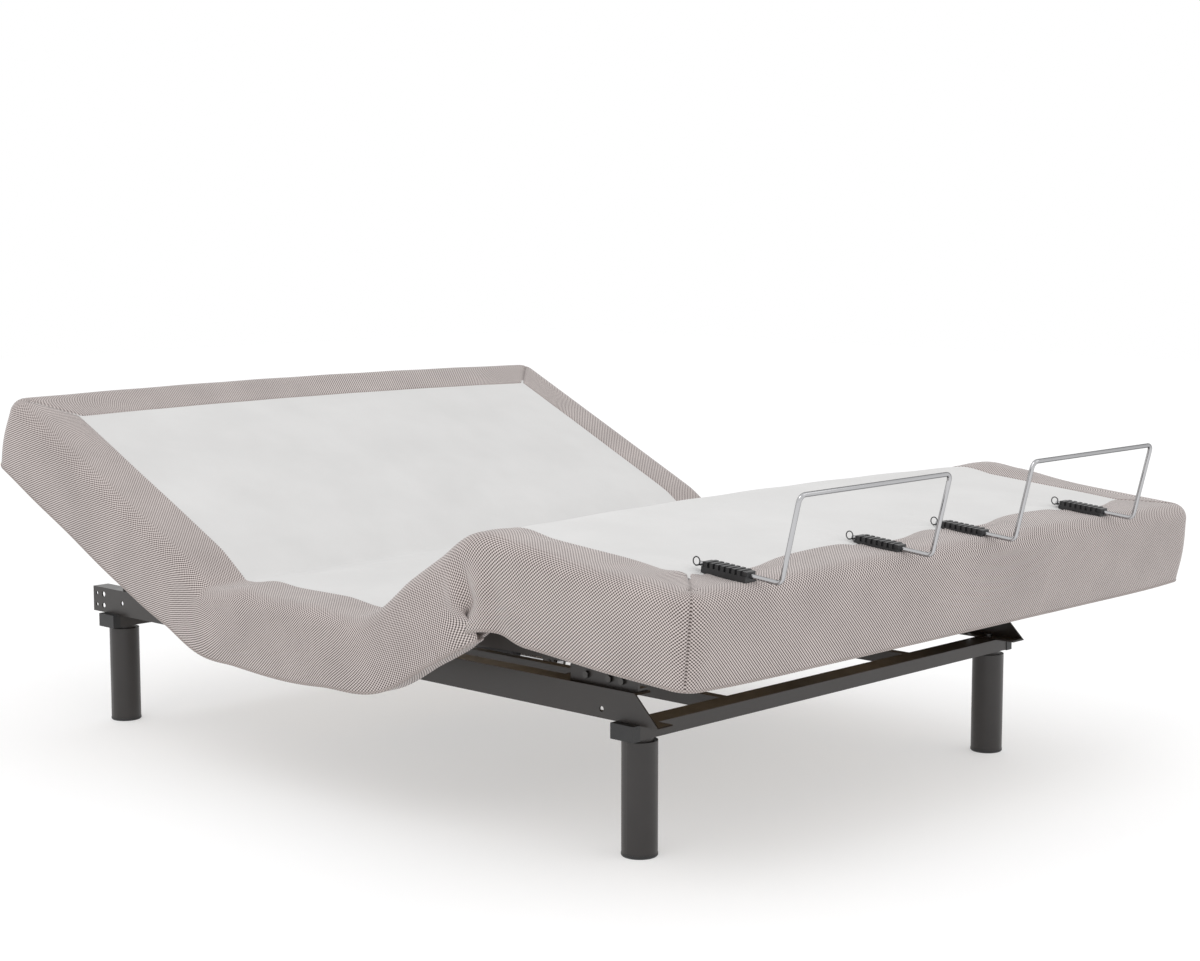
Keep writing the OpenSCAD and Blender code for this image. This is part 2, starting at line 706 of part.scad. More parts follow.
// Two beams run from cross tube to cross tube inside the lift arms, and carry the two
// members that the actuators push against.
module cross_members() {
    beam_start = foot_leg_y + tube_d / 2;
    beam_end = head_leg_y - tube_d / 2;
    reach = beam_x + beam_w / 2;
    color([0.22, 0.2, 0.19]) {
        for (y = [front_member_y, rear_member_y]) difference() {
            translate([-reach, y - member_w / 2, rail_z]) cube([2 * reach, member_w, member_h]);
            translate([-reach - 1, y - member_w / 2 + rail_t, rail_z + rail_t])
                cube([2 * reach + 2, member_w - 2 * rail_t, member_h - 2 * rail_t]);
        }
        both_sides() difference() {
            translate([beam_x - beam_w / 2, beam_start, tube_z])
                cube([beam_w, beam_end - beam_start, tube_h]);
            translate([beam_x - beam_w / 2 + tube_wall, beam_start - 1, tube_z + tube_wall])
                cube([beam_w - 2 * tube_wall, beam_end - beam_start + 2, tube_h - 2 * tube_wall]);
        }
    }
}
bracket_t = 6;
module actuator_bracket(x, y, eye_z) {
    for (side = [-1, 1]) translate([x + side * (rear_eye_w / 2 + 2 + bracket_t / 2), y, 0])
        rotate([90, 0, 90]) linear_extrude(bracket_t, center = true) difference() {
            union() {
                translate([0, eye_z]) circle(15);
                translate([-15, eye_z]) square([30, rail_z - eye_z]);
            }
            translate([0, eye_z]) circle(d = rear_pin_d);
        }
}
module actuator_brackets() {
    color([0.22, 0.2, 0.19]) {
        actuator_bracket(actuator_x, front_member_y, head_eye_z);
        actuator_bracket(-actuator_x, rear_member_y, knee_eye_z);
    }
}
// Support rails: angles above the side rails, standing on brackets.
support_start = foot_leg_y - 20;
support_end = head_leg_y + 15;
support_t = 3;
module support_rails() {
    color([0.2, 0.18, 0.17]) both_sides()
        translate([support_x, support_end, support_z]) rotate([90, 0, 0]) mirror([1, 0, 0])
            linear_extrude(support_end - support_start) {
                translate([0, 0]) square([support_t, support_h]);
                translate([0, support_h - support_t]) square([support_w, support_t]);
            }
}
foot_bracket_len = 160;
mid_bracket_len = 90;
foot_bracket_y = foot_leg_y - 9;
foot_bolts = [36, 66, 120];
mid_bolts = [20, 70];
brackets = [
    [foot_bracket_y, foot_bracket_len, foot_bolts],
    [thigh_y + 30, mid_bracket_len, mid_bolts],
    [head_y - 30 - mid_bracket_len, mid_bracket_len, mid_bolts],
    [head_leg_y - 110, mid_bracket_len, mid_bolts]
];
bracket_bolt_z = rail_z + rail_h + 14;
stand_t = 5;
module bracket_plate(len, bolt_ys) {
    r = 10;
    z0 = rail_z + rail_h;
    z1 = support_z + support_h - support_t - 2;
    rotate([90, 0, 90]) linear_extrude(stand_t) difference() {
        union() {
            translate([0, z0]) square([len, z1 - z0 - r]);
            translate([r, z1 - r]) square([len - 2 * r, r]);
            for (y = [r, len - r]) translate([y, z1 - r]) circle(r);
        }
        for (y = bolt_ys) translate([y, bracket_bolt_z]) circle(d = bolt_d);
    }
    translate([-20, 0, z0]) cube([20, len, stand_t]);
}
module support_brackets() {
    color([0.2, 0.18, 0.17]) both_sides() for (b = brackets)
        translate([support_x - support_t - stand_t, b[0], 0]) bracket_plate(b[1], b[2]);
}
post_d = 24;
module strut_posts() {
    start = strut_x + strut_w / 2 + 2;
    color([0.2, 0.18, 0.17]) both_sides() translate([0, strut_base[0], strut_base[1]]) rotate([0, 90, 0]) {
        translate([0, 0, start]) cylinder(d = post_d, h = rail_x - rail_t - start);
        translate([0, 0, strut_x - strut_w / 2 - 3]) cylinder(d = strut_pin_d, h = strut_w + 6);
        translate([0, 0, strut_x - strut_w / 2 - 5]) cylinder(d = strut_pin_d + 8, h = 4);
    }
}
module pivot_bushes() {
    color([0.12, 0.12, 0.12]) both_sides() for (y = [head_pivot_y, knee_pivot_y])
        translate([0, y, arm_z]) rotate([0, 90, 0]) difference() {
            union() {
                translate([0, 0, rail_x - rail_t]) cylinder(d = bush_d, h = rail_t + 2);
                translate([0, 0, rail_x]) cylinder(d = bush_d + 8, h = 2);
            }
            translate([0, 0, rail_x - rail_t - 1]) cylinder(d = stub_d + 2 * knuckle_fit, h = 12);
        }
}

// Legs, with a stud and plate on top and a glide below.
glide_h = 6;
leg_wall = 2;
module at_legs() {
    for (y = [foot_leg_y, head_leg_y]) both_sides() translate([leg_x, y, 0]) children();
}
module legs() {
    color([0.24, 0.23, 0.23]) at_legs() difference() {
        translate([0, 0, glide_h]) cylinder(d = leg_d, h = leg_h - glide_h);
        translate([0, 0, glide_h - 1]) cylinder(d = leg_d - 2 * leg_wall, h = leg_h - glide_h - 9);
        translate([0, 0, leg_h - 12]) cylinder(d = leg_stud_d, h = 14);
    }
}
module leg_mount_plates() {
    color([0.15, 0.14, 0.14]) at_legs() {
        translate([0, 0, leg_h]) cylinder(d = min(leg_d, tube_d) - 2, h = plate_t);
        translate([0, 0, leg_h - 8]) cylinder(d = leg_stud_d, h = 8 + plate_t + 16);
    }
}
module leg_glides() {
    color([0.08, 0.08, 0.08]) at_legs() {
        cylinder(d1 = leg_d - 3, d2 = leg_d + 1, h = 2);
        translate([0, 0, 2]) cylinder(d = leg_d + 1, h = glide_h - 2);
        translate([0, 0, glide_h]) cylinder(d = leg_d - 2 * leg_wall, h = 14);
    }
}

// Fasteners: rail bolts into the cross tubes, bracket bolts and the actuators' rear pins.
bolt_d = 8;
head_h = 5;
rail_bolt_x = rail_x - rail_flange / 2 - 6;
module bolt(shank) {
    cylinder(d = bolt_d * 1.7, h = head_h, $fn = 6);
    translate([0, 0, -shank]) cylinder(d = bolt_d, h = shank);
}
module frame_bolts() {
    color("dimgray") {
        both_sides() {
            for (b = brackets, y = b[2])
                translate([support_x - support_t, b[0] + y, bracket_bolt_z])
                    rotate([0, 90, 0]) bolt(stand_t);
            for (y = [foot_leg_y, head_leg_y])
                translate([rail_bolt_x, y, rail_z + rail_t]) bolt(rail_t + tube_wall);
        }
        translate([actuator_x, front_member_y, head_eye_z]) rear_pin();
        translate([-actuator_x, rear_member_y, knee_eye_z]) rear_pin();
    }
}
module rear_pin() {
    rotate([0, 90, 0]) cylinder(d = rear_pin_d, h = rear_eye_w + 4 + 2 * bracket_t + 4, center = true);
}

// Control box under the front cross member, with its mains inlet, and the two
// motor cables that run to it along the frame.
box_size = [190, 110, 42];
box_x = -165;
inlet_size = [28, 12, 20];
module control_box() {
    inlet_place = [-inlet_size[0] / 2, box_size[1] / 2 - inlet_size[1], (box_size[2] - inlet_size[2]) / 2];
    translate([box_x, front_member_y, rail_z - box_size[2]]) color([0.12, 0.12, 0.13]) difference() {
        translate([-box_size[0] / 2, -box_size[1] / 2, 0]) cube(box_size);
        translate(inlet_place) cube([inlet_size[0], inlet_size[1] + 1, inlet_size[2]]);
    }
}
cable_d = 6;
box_edge_x = box_x + box_size[0] / 2;
cable_z = rail_z - box_size[2] / 2;
cable_start = actuator_x - gear_w / 2 - 1;
motor_y_head = front_member_y + 28 + 55;
motor_y_knee = rear_member_y - 28 - 55;
clip_x = box_edge_x + 35;
head_cable_y = front_member_y + 12;
knee_cable_y = front_member_y - 12;
head_cable = [
    [cable_start, motor_y_head - 20, head_eye_z],
    [cable_start - 22, motor_y_head - 22, head_eye_z + 2],
    [clip_x + 60, head_cable_y + 12, cable_z],
    [clip_x + 30, head_cable_y, cable_z],
    [clip_x + 10, head_cable_y, cable_z],
    [clip_x - 15, head_cable_y, cable_z],
    [box_edge_x, head_cable_y, cable_z]
];
knee_cable = [
    [-cable_start, motor_y_knee + 20, knee_eye_z],
    [-cable_start + 18, motor_y_knee + 14, knee_eye_z],
    [-50, motor_y_knee - 30, knee_eye_z],
    [-50, 0.5 * (motor_y_knee + knee_pivot_y), knee_eye_z - 4],
    [-46, knee_pivot_y - 20, knee_eye_z - 8],
    [-20, 0.5 * (knee_pivot_y + front_member_y), knee_eye_z - 2],
    [26, front_member_y + 60, cable_z - 20],
    [34, front_member_y + 10, cable_z - 20],
    [clip_x + 34, knee_cable_y - 2, cable_z],
    [clip_x + 10, knee_cable_y, cable_z],
    [clip_x - 15, knee_cable_y, cable_z],
    [box_edge_x, knee_cable_y, cable_z]
];
// A tube swept along a route: each ring's side direction is carried on from the
// ring before, so the tube doesn't twist.
function spline_point(p0, p1, p2, p3, t) = 0.5 * (2 * p1 + (p2 - p0) * t
    + (2 * p0 - 5 * p1 + 4 * p2 - p3) * t * t + (3 * p1 - p0 - 3 * p2 + p3) * t * t * t);
function smooth_route(p, steps) = [for (i = [0 : len(p) - 2], k = [0 : steps - 1])
    spline_point(p[max(i - 1, 0)], p[i], p[i + 1], p[min(i + 2, len(p) - 1)], k / steps),
    p[len(p) - 1]];
function unit(v) = v / norm(v);
function route_dir(p, i) = unit(p[min(i + 1, len(p) - 1)] - p[max(i - 1, 0)]);
function square_to(v, d) = unit(v - d * (v * d));
module swept_tube(p, d, sides, first_side) {
    n = len(p);
    side = [for (i = 0, s = square_to(first_side, route_dir(p, 0)); i < n;
        i = i + 1, s = i < n ? square_to(s, route_dir(p, i)) : s) s];
    rings = [for (i = [0 : n - 1]) let (a = side[i], b = cross(route_dir(p, i), a))
        for (k = [0 : sides - 1]) let (w = 360 * k / sides) p[i] + (a * cos(w) + b * sin(w)) * d / 2];
    walls = [for (i = [0 : n - 2], k = [0 : sides - 1]) let (k2 = (k + 1) % sides)
        [i * sides + k, i * sides + k2, (i + 1) * sides + k2, (i + 1) * sides + k]];
    first = [for (k = [sides - 1 : -1 : 0]) k];
    last = [for (k = [0 : sides - 1]) (n - 1) * sides + k];
    polyhedron(points = rings, faces = concat(walls, [first, last]), convexity = 10);
}
cable_sides = 8;
cable_steps = 5;
module motor_cables() {
    color([0.1, 0.1, 0.1]) {
        for (route = [head_cable, knee_cable])
            swept_tube(smooth_route(route, cable_steps), cable_d, cable_sides, [0, 0, 1]);
    }
}
module cable_clips() {
    color([0.1, 0.1, 0.1]) for (y = [head_cable_y, knee_cable_y]) translate([clip_x, y, 0]) difference() {
        translate([-5, -6, cable_z - 6]) cube([10, 12, rail_z - cable_z + 6]);
        translate([0, 0, cable_z]) rotate([0, 90, 0]) cylinder(d = cable_d + 1, h = 20, center = true);
    }
}

// Mattress retainers at the foot end: two bent bars, each held in two ribbed
// clips by a hitch pin behind each clip.
clip_w = 28;
clip_h = 19;
clip_front = foot_len - 22;
clip_back = clip_front - clip_len;
leg_overrun = 14;
bend_r = 12;
rib_n = 7;
rib_gap = 5;
bar_fit = 0.1;
hitch_d = 2.6;
hitch_u = clip_back - leg_overrun / 2;
ring_r = 7;
pin_reach = 19;
bar_legs = [for (x = [bar_left_x, bar_right_x], side = [-1, 1]) x + side * bar_w / 2];
bar_sides = 20;
bend_steps = 6;
// The points of a rod with its corners rounded to radius r.
function bend_points(a, b, c, r) = let (d1 = unit(b - a), d2 = unit(c - b), bend = acos(d1 * d2),
    start = b - d1 * r * tan(bend / 2), inward = square_to(d2, d1))
    [for (k = [0 : bend_steps]) let (w = bend * k / bend_steps)
        start + inward * r * (1 - cos(w)) + d1 * r * sin(w)];
function rounded_route(p, r) = [p[0], for (i = [1 : len(p) - 2])
    each bend_points(p[i - 1], p[i], p[i + 1], r), p[len(p) - 1]];
module retainer_bar(x) {
    points = [for (side = [-1, 1], low = side < 0 ? [0, 1, 2] : [2, 1, 0])
        [x + side * bar_w / 2, [clip_back - leg_overrun, bar_u, bar_top[0]][low],
            [bar_h, bar_h, bar_top[1]][low]]];
    color("silver") difference() {
        on_foot() swept_tube(rounded_route(points, bend_r), bar_d, bar_sides, [1, 0, 0]);
        for (side = [-1, 1]) on_foot() translate([x + side * bar_w / 2, hitch_u, bar_h])
            rotate([0, 90, 0]) cylinder(d = hitch_d + 0.4, h = 2 * bar_d, center = true);
    }
}
module retainer_bar_left() { retainer_bar(bar_left_x); }
module retainer_bar_right() { retainer_bar(bar_right_x); }
module retainer_clips() {
    color([0.08, 0.08, 0.08]) for (x = bar_legs) on_foot() translate([x, clip_back, top_h]) difference() {
        union() {
            translate([-clip_w / 2, 0, 0]) cube([clip_w, clip_len, clip_h * 0.55]);
            translate([-clip_w / 2 + 3, 0, 0]) cube([clip_w - 6, clip_len, bar_h - top_h + bar_d / 2 + 3]);
            for (i = [0 : rib_n - 1]) translate([-clip_w / 2, 6 + i * (clip_len - 12) / rib_n, 0])
                cube([clip_w, (clip_len - 12) / rib_n - rib_gap, clip_h]);
        }
        translate([0, -1, bar_h - top_h]) rotate([-90, 0, 0])
            cylinder(d = bar_d + 2 * bar_fit, h = clip_len + 2);
    }
}
module hitch_pins() {
    color([0.08, 0.08, 0.08]) for (x = bar_legs) on_foot() translate([x, hitch_u, bar_h]) {
        rotate([0, 90, 0]) cylinder(d = hitch_d, h = 2 * pin_reach, center = true);
        translate([-pin_reach + 1, 0, ring_r]) rotate([0, 90, 0]) rotate_extrude()
            translate([ring_r, 0]) circle(d = 2);
    }
}

side_rail_left();
side_rail_right();
foot_cross_tube();
head_cross_tube();
tube_end_caps();
cross_members();
support_rails();
support_brackets();
strut_posts();
leg_mount_plates();
legs();
leg_glides();
frame_bolts();
pivot_bushes();
actuator_brackets();
control_box();
motor_cables();
cable_clips();
seat_deck();
seat_pad();
seat_border();
seat_cover();
seat_cloth();
seat_hinge_leaves();
head_deck();
head_tracks();
head_pad();
head_border();
head_cover();
head_cloth();
head_hinge_leaves();
thigh_deck();
thigh_tracks();
thigh_pad();
thigh_border();
thigh_cover();
thigh_cloth();
thigh_hinge_leaves();
foot_deck();
foot_tracks();
foot_pad();
foot_border();
foot_cover();
foot_cloth();
foot_hinge_leaves();
foot_struts();
retainer_clips();
retainer_bar_left();
retainer_bar_right();
hitch_pins();
head_torque_tube();
head_lift_arms();
head_rollers();
knee_torque_tube();
knee_lift_arms();
knee_rollers();
head_actuator();
head_rod();
knee_actuator();
knee_rod();
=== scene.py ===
"""Adjustable bed base: fabric covers, finishes, floor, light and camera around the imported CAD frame."""
import json
import math

import bmesh
import bpy
import numpy as np
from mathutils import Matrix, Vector

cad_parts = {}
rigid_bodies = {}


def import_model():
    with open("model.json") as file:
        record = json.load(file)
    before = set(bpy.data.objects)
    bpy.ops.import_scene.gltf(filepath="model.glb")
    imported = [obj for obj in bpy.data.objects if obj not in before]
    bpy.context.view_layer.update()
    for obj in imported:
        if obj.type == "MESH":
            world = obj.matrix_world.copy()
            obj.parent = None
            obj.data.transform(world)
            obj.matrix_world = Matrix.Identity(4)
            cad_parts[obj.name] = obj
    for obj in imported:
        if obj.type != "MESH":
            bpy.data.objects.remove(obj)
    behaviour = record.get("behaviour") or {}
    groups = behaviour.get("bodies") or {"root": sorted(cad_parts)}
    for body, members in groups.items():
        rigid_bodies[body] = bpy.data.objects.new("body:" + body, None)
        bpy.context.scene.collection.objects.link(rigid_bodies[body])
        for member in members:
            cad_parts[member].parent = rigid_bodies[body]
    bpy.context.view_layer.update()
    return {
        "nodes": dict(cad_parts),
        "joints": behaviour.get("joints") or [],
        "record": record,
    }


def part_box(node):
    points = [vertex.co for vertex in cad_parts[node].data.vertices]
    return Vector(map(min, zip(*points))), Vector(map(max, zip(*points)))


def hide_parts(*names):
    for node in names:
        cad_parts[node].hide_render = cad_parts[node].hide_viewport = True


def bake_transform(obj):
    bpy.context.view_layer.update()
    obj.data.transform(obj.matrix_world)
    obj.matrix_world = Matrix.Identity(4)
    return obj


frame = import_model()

NODES = frame["nodes"]
JOINTS = {j["name"]: j for j in frame["joints"]}
RATIO = {c["joint"]: c["ratio"] for c in frame["record"]["behaviour"]["couplings"]}

# ---------------------------------------------------------------- camera, floor and light
CAMERA_PLACE = (-3.270, -3.151, 1.090)
CAMERA_YAW = math.radians(46.32)
CAMERA_PITCH = math.radians(-6.76)
CAMERA_LENS = 66.93
WORLD_STRENGTH = 1.0
LIGHT_SIDE = 3.0
LIGHT_TARGET = (0, 0, 0.4)
LIGHTS = {"key": ((-3.5, -1.5, 4.5), 60), "fill": ((2.5, -4.0, 3.0), 20)}
FLOOR_REACH = 12.0


def add_camera():
    data = bpy.data.cameras.new("camera")
    data.lens = CAMERA_LENS
    data.sensor_width = 36.0
    camera = bpy.data.objects.new("camera", data)
    camera.location = CAMERA_PLACE
    camera.rotation_euler = (math.pi / 2 + CAMERA_PITCH, 0, -CAMERA_YAW)
    bpy.context.scene.collection.objects.link(camera)
    bpy.context.scene.camera = camera


def add_area_light(name, place, power):
    data = bpy.data.lights.new(name, "AREA")
    data.shape = "RECTANGLE"
    data.size = data.size_y = LIGHT_SIDE
    data.energy = power
    light = bpy.data.objects.new(name, data)
    light.location = place
    light.rotation_euler = (Vector(LIGHT_TARGET) - Vector(place)).to_track_quat("-Z", "Y").to_euler()
    bpy.context.scene.collection.objects.link(light)


def add_world():
    """An even white studio, shown without a film curve so that the white stays white."""
    bpy.context.scene.view_settings.view_transform = "Standard"
    world = bpy.data.worlds.new("studio")
    world.use_nodes = True
    background = world.node_tree.nodes["Background"]
    background.inputs["Color"].default_value = (1.0, 1.0, 1.0, 1)
    background.inputs["Strength"].default_value = WORLD_STRENGTH
    bpy.context.scene.world = world


# ---------------------------------------------------------------- materials
class Nodes:
    """Short calls for building a node material. A key such as _1 names an input by its number."""

    def __init__(self, name):
        self.material = bpy.data.materials.new(name)
        self.material.use_nodes = True
        self.tree = self.material.node_tree
        self.shader = self.tree.nodes["Principled BSDF"]

    def add(self, kind, **inputs):
        node = self.tree.nodes.new(kind)
        for key, value in inputs.items():
            self.put(node, key, value)
        return node

    def put(self, node, key, value):
        if hasattr(node, key) and key not in node.inputs:
            setattr(node, key, value)
            return
        socket = node.inputs[int(key[1:])] if key[0] == "_" else node.inputs[key]
        if isinstance(value, bpy.types.NodeSocket):
            self.tree.links.new(value, socket)
        else:
            socket.default_value = value

    def math(self, operation, a, b=0.0):
        return self.add("ShaderNodeMath", operation=operation, _0=a, _1=b).outputs[0]

    def coordinates(self, scale=(1, 1, 1)):
        place = self.add("ShaderNodeTexCoord").outputs["Object"]
        return self.add("ShaderNodeMapping", Vector=place, Scale=scale).outputs[0]

    def noise(self, scale, detail=3.0, roughness=0.55, vector=None):
        vector = self.coordinates() if vector is None else vector
        return self.add("ShaderNodeTexNoise", Vector=vector, Scale=scale, Detail=detail,
                        Roughness=roughness).outputs["Fac"]

    def remap(self, value, low, high, to_low, to_high):
        return self.add("ShaderNodeMapRange", Value=value, **{"From Min": low, "From Max": high,
                        "To Min": to_low, "To Max": to_high}).outputs[0]

    def mix(self, factor, a, b):
        node = self.add("ShaderNodeMix", data_type="RGBA")
        for index, value in ((0, factor), (6, a), (7, b)):
            self.put(node, f"_{index}", value)
        return node.outputs[2]

    def bump(self, height, distance, strength=1.0, normal=None):
        node = self.add("ShaderNodeBump", Height=height, Distance=distance, Strength=strength)
        if normal is not None:
            self.put(node, "Normal", normal)
        return node.outputs[0]

    def surface(self, **inputs):
        for key, value in inputs.items():
            self.put(self.shader, key.replace("_", " "), value)
        return self.material


WEAVE_PITCH = 0.0064
WEAVE_STRETCH = 1.1
WEAVE_WANDER = 0.0012
ROWS_SHARE, CELLS_SHARE = 0.58, 0.42
WEAVE_LIGHT = (0.62, 0.55, 0.53, 1)
WEAVE_DARK = (0.060, 0.043, 0.038, 1)
HEM_LIGHT = (0.40, 0.35, 0.33, 1)
HEM_DARK = (0.20, 0.165, 0.155, 1)


def weave_material(name, light=WEAVE_LIGHT, dark=WEAVE_DARK):
    """Two-tone spacer mesh: light threads round dark, diamond-shaped holes."""
    n = Nodes(name)
    place = n.add("ShaderNodeUVMap", uv_map="weave").outputs[0]
    u, v = n.add("ShaderNodeSeparateXYZ", Vector=place).outputs[:2]
    turn = math.tau / WEAVE_PITCH
    wander = n.math("MULTIPLY", n.noise(40.0, 2.0), WEAVE_WANDER)
    down = n.math("ADD", n.math("MULTIPLY", v, WEAVE_STRETCH), wander)
    rising = n.math("SINE", n.math("MULTIPLY", n.math("SUBTRACT", u, down), turn))
    falling = n.math("SINE", n.math("MULTIPLY", n.math("ADD", u, down), turn))
    cells = n.math("MULTIPLY", falling, CELLS_SHARE)
    rows = n.math("MULTIPLY", rising, ROWS_SHARE)
    height = n.math("ADD", cells, rows)
    mask = n.remap(height, -0.42, 0.38, 0.0, 1.0)
    patches = n.noise(9.0, 4.0)
    shade = n.remap(patches, 0.3, 0.7, 0.93, 1.07)
    base = n.mix(mask, dark, light)
    tint = n.add("ShaderNodeCombineColor", Red=shade, Green=shade, Blue=shade).outputs[0]
    colour = n.add("ShaderNodeMix", data_type="RGBA", blend_type="MULTIPLY", _0=1.0)
    n.put(colour, "_6", base)
    n.put(colour, "_7", tint)
    fibres = n.noise(2600.0, 2.0)
    woven = n.bump(height, 0.0006, 0.5)
    return n.surface(Base_Color=colour.outputs[2], Roughness=n.remap(mask, 0, 1, 0.95, 0.72),
                     Normal=n.bump(fibres, 0.0002, 0.4, woven), Sheen_Weight=0.25, Sheen_Roughness=0.5)


def cloth_material():
    """Smooth light-grey non-woven cloth with fine fibres and small dimples."""
    n = Nodes("top_cloth")
    fibres = n.noise(1500.0, 3.0, 0.6, n.coordinates((1, 0.35, 1)))
    clouds = n.noise(6.0, 4.0)
    mottled = n.mix(n.remap(clouds, 0.3, 0.7, 0, 1), (0.585, 0.58, 0.575, 1), (0.635, 0.63, 0.625, 1))
    colour = n.mix(n.remap(fibres, 0.35, 0.65, 0, 0.35), mottled, (0.55, 0.545, 0.54, 1))
    dimples = n.add("ShaderNodeTexVoronoi", Vector=n.coordinates(), Scale=420.0).outputs["Distance"]
    first = n.bump(dimples, 0.0003, 0.3)
    return n.surface(Base_Color=colour, Roughness=n.remap(fibres, 0.3, 0.7, 0.75, 0.92),
                     Normal=n.bump(fibres, 0.0002, 0.5, first), Sheen_Weight=0.15)


def paint_material(name, colour, gloss):
    """Satin powder coat: fine orange peel, dust in broad patches."""
    n = Nodes(name)
    peel = n.noise(900.0, 2.0)
    dust = n.noise(14.0, 5.0)
    pale = tuple(min(1, c * 1.5 + 0.006) for c in colour[:3]) + (1,)
    return n.surface(Base_Color=n.mix(n.remap(dust, 0.35, 0.75, 0, 0.5), colour, pale),
                     Roughness=n.remap(dust, 0.3, 0.7, gloss - 0.05, gloss + 0.08),
                     Normal=n.bump(peel, 0.0002, 0.25), Coat_Weight=0.15, Coat_Roughness=0.3)


def plastic_material(name, colour, roughness, grain=1800.0):
    """Moulded plastic with a fine spark-eroded grain."""
    n = Nodes(name)
    fine = n.noise(grain, 2.0)
    wear = n.noise(25.0, 4.0)
    pale = tuple(min(1, c * 1.35 + 0.008) for c in colour[:3]) + (1,)
    return n.surface(Base_Color=n.mix(n.remap(wear, 0.4, 0.8, 0, 0.6), colour, pale),
                     Roughness=n.remap(fine, 0.3, 0.7, roughness - 0.06, roughness + 0.08),
                     Normal=n.bump(fine, 0.0002, 0.35))


def metal_material(name, colour, roughness, streak=(1, 1, 1), edge=0.9):
    """Bare or plated metal with faint scratches along one direction."""
    n = Nodes(name)
    lines = n.noise(500.0, 3.0, 0.6, n.coordinates(streak))
    smudge = n.noise(12.0, 4.0)
    rough = n.math("ADD", n.remap(lines, 0.3, 0.7, roughness * 0.7, roughness * 1.2),
                   n.remap(smudge, 0.45, 0.8, 0, roughness * 0.6))
    # Specular_Tint sets the edge tint: a low edge darkens the reflection towards grazing angles, a painted
    # dark reflection
    return n.surface(Base_Color=n.mix(n.remap(smudge, 0.3, 0.8, 0, 0.4), colour,
                                      tuple(c * 0.85 for c in colour[:3]) + (1,)),
                     Metallic=1.0, Roughness=rough, Specular_Tint=(edge, edge, edge, 1),
                     Normal=n.bump(lines, 0.0001, 0.15))


def wood_material():
    """Raw deck panel: strands pressed flat, with a grain along the bed."""
    n = Nodes("deck_wood")
    grain = n.noise(60.0, 6.0, 0.6, n.coordinates((1, 0.12, 1)))
    flakes = n.add("ShaderNodeTexVoronoi", Vector=n.coordinates((1, 0.4, 1)), Scale=45.0).outputs["Color"]
    warm = n.mix(n.remap(grain, 0.3, 0.7, 0, 1), (0.30, 0.19, 0.10, 1), (0.52, 0.37, 0.22, 1))
    tint = n.add("ShaderNodeSeparateColor", Color=flakes).outputs[0]
    colour = n.mix(n.remap(tint, 0, 1, 0, 0.45), warm, (0.60, 0.46, 0.30, 1))
    return n.surface(Base_Color=colour, Roughness=0.8, Normal=n.bump(grain, 0.0006, 0.5))


def floor_material():
    """Pale studio floor that glows a little, so that it runs into the white behind the bed."""
    n = Nodes("studio_floor")
    clouds = n.remap(n.noise(1.2, 3.0), 0.3, 0.7, 0, 1)
    return n.surface(Base_Color=n.mix(clouds, (0.53, 0.53, 0.535, 1), (0.55, 0.55, 0.55, 1)),
                     Roughness=0.9, Emission_Color=(1, 1, 1, 1), Emission_Strength=0.46)


# ---------------------------------------------------------------- short calls for shapes
def smooth(t):
    t = np.clip(t, 0, 1)
    return t * t * (3 - 2 * t)


def bell(value, width):
    return np.exp(-(value / width) ** 2)


def spaced(start, stop, step):
    return np.linspace(start, stop, max(2, int(round(abs(stop - start) / step)) + 1))


# ---------------------------------------------------------------- the joints' geometry, in (y, z)
def turned(points, angle):
    """Points turned about the origin, by one angle or by an angle for each."""
    c, s = np.cos(angle), np.sin(angle)
    return np.stack([points[:, 0] * c - points[:, 1] * s, points[:, 0] * s + points[:, 1] * c], 1)


class Fold:
    """A hinge across the bed. The line from start to end points along outward, and turn is the
    hinge's angle at rest."""

    def __init__(self, joint, turn, outward, before, after):
        place = JOINTS[joint]["pos_m"]
        self.near_body, self.far_body = JOINTS[joint]["parent"], JOINTS[joint]["child"]
        self.hinge = np.array(place[1:])
        self.turn = turn
        middle = np.array([math.cos(outward), math.sin(outward)])
        self.start = self.hinge - middle * before
        self.end = self.hinge + middle * after

    def share(self, points):
        """How far each point has gone over to the far body, from 0 to 1."""
        along = self.end - self.start
        return smooth((points - self.start) @ along / (along @ along))

    def bent(self, flat, steps=40):
        """Where flat (y, z) points lie when the joint stands as it does at rest."""
        low, high = np.zeros(len(flat)), np.ones(len(flat))
        arm = flat - self.hinge
        for _ in range(steps):
            w = (low + high) / 2
            there = self.hinge + turned(arm, self.turn * w)
            more = self.share(there) > w
            low, high = np.where(more, w, low), np.where(more, high, w)
        return there

    def blend(self, piece):
        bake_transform(piece)


HEAD_REST = math.radians(-JOINTS["head_lift"]["range_deg"][0])
THIGH_REST = math.radians(-JOINTS["thigh_lift"]["range_deg"][0])
FOOT_TURN = THIGH_REST * abs(RATIO["knee_bend"])
HEAD_FOLD = Fold("head_lift", HEAD_REST, HEAD_REST / 2, before=0.095, after=0.125)
THIGH_FOLD = Fold("thigh_lift", -THIGH_REST, math.pi - THIGH_REST / 2, before=0.15, after=0.15)
KNEE_FOLD = Fold("knee_bend", FOOT_TURN, math.pi - THIGH_REST + FOOT_TURN / 2, before=0.08, after=0.10)


def reach_of(node, fold, slope, way):
    """How near to its section's hinge a node starts and how far it goes, along the section. The section
    slopes up by slope, and way is 1 where it lies towards the head."""
    points = np.array([v.co[1:] for v in NODES[node].data.vertices])
    out = turned(points - fold.hinge, -slope)[:, 0] * way
    return out.min(), out.max()


